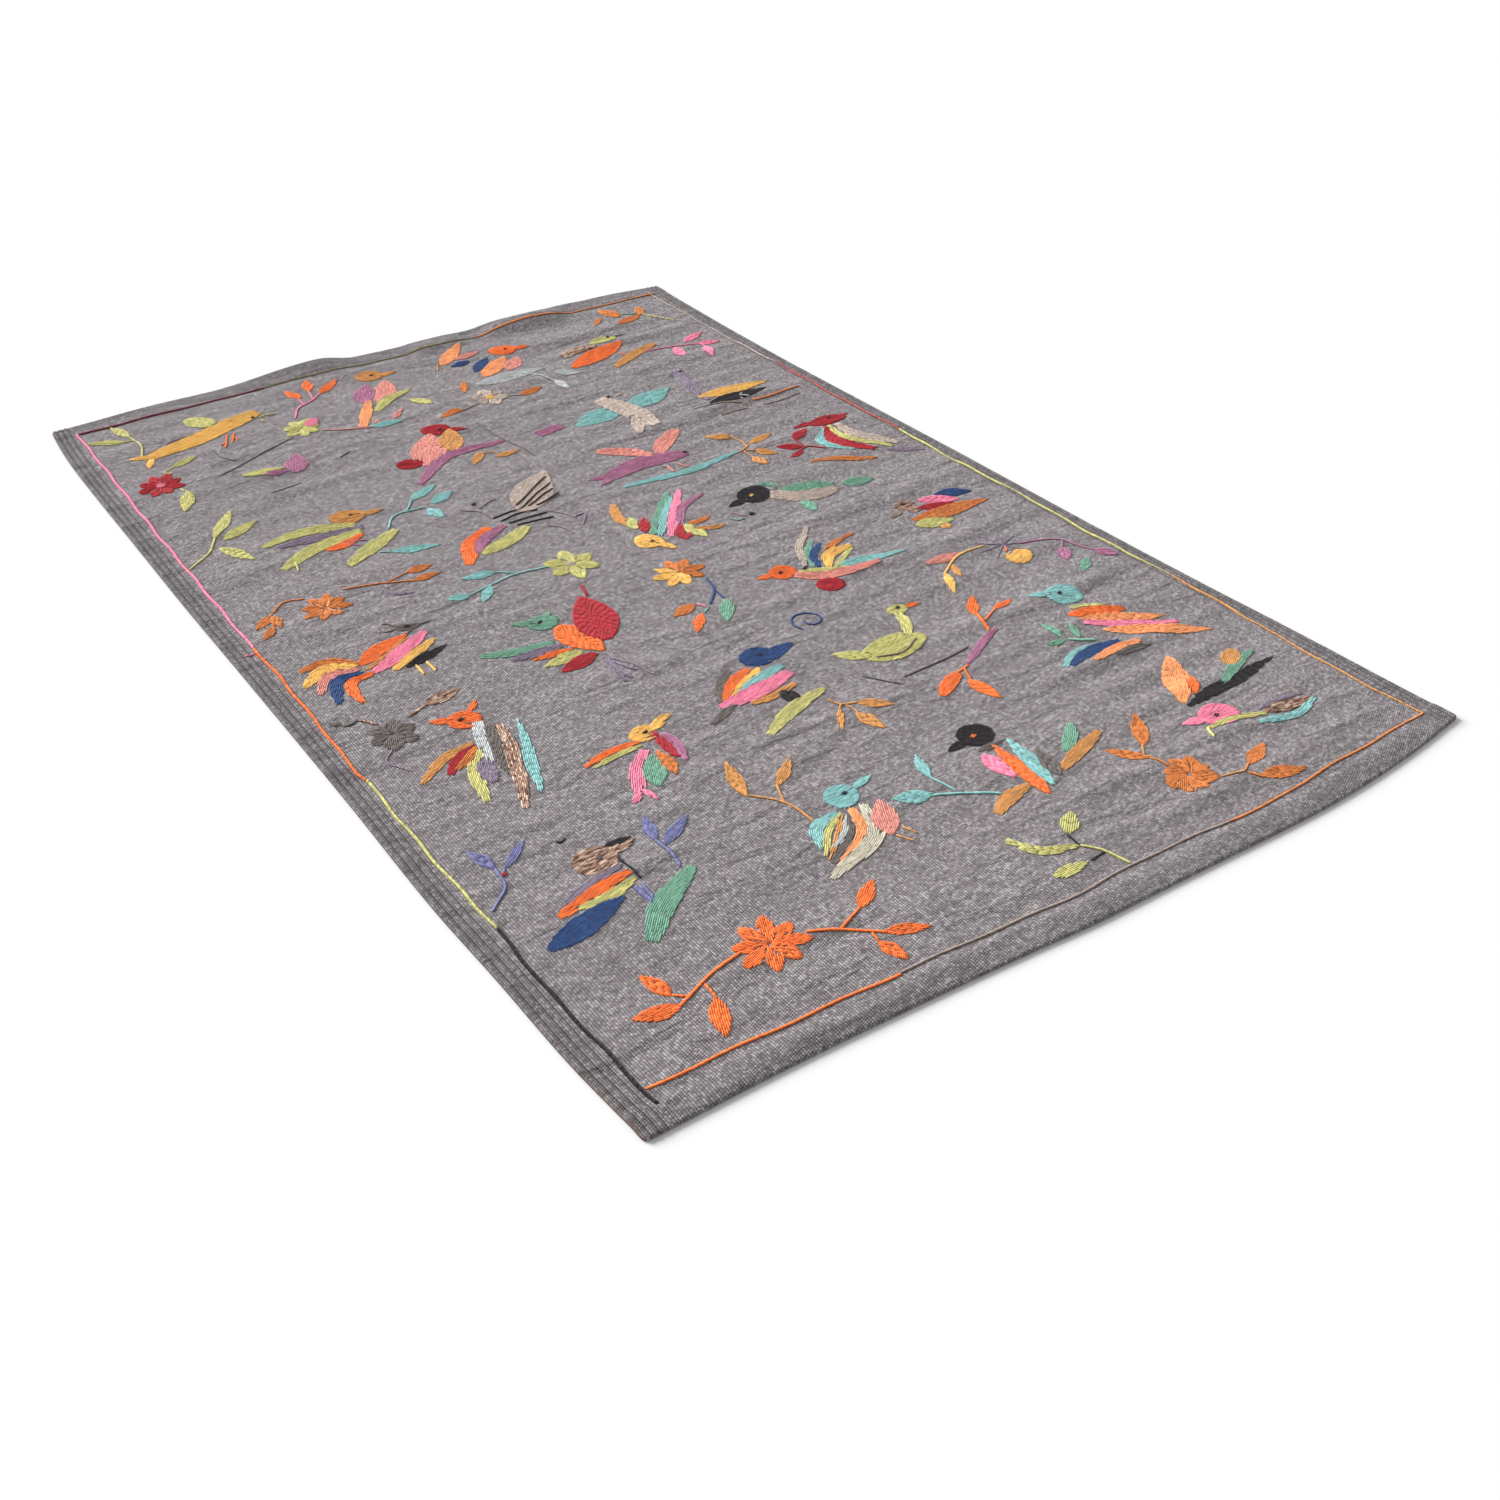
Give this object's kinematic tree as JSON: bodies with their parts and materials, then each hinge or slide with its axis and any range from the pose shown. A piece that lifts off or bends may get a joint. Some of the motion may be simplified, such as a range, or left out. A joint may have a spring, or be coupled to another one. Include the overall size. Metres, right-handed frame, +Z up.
{
  "type": "embroidered kilim rug",
  "caption": "Flat-woven grey rug lying flat, with corded long sides, a turned hem at each end, a stitched border line, and birds, leaves and flowers worked all over it in yarn.",
  "frame": {"origin": "centre of the bounding box at floor level, under the rug", "axes": "+X across the rug's width, +Y along its length towards the back end, +Z up from the floor"},
  "size_m": [1.5258, 2.4314, 0.023],
  "materials": {
    "ground_cloth": "matt flat weave in mixed warm grey wool"
  },
  "bodies": {
    "root": {"rug": "ground_cloth"}
  },
  "joints": []
}
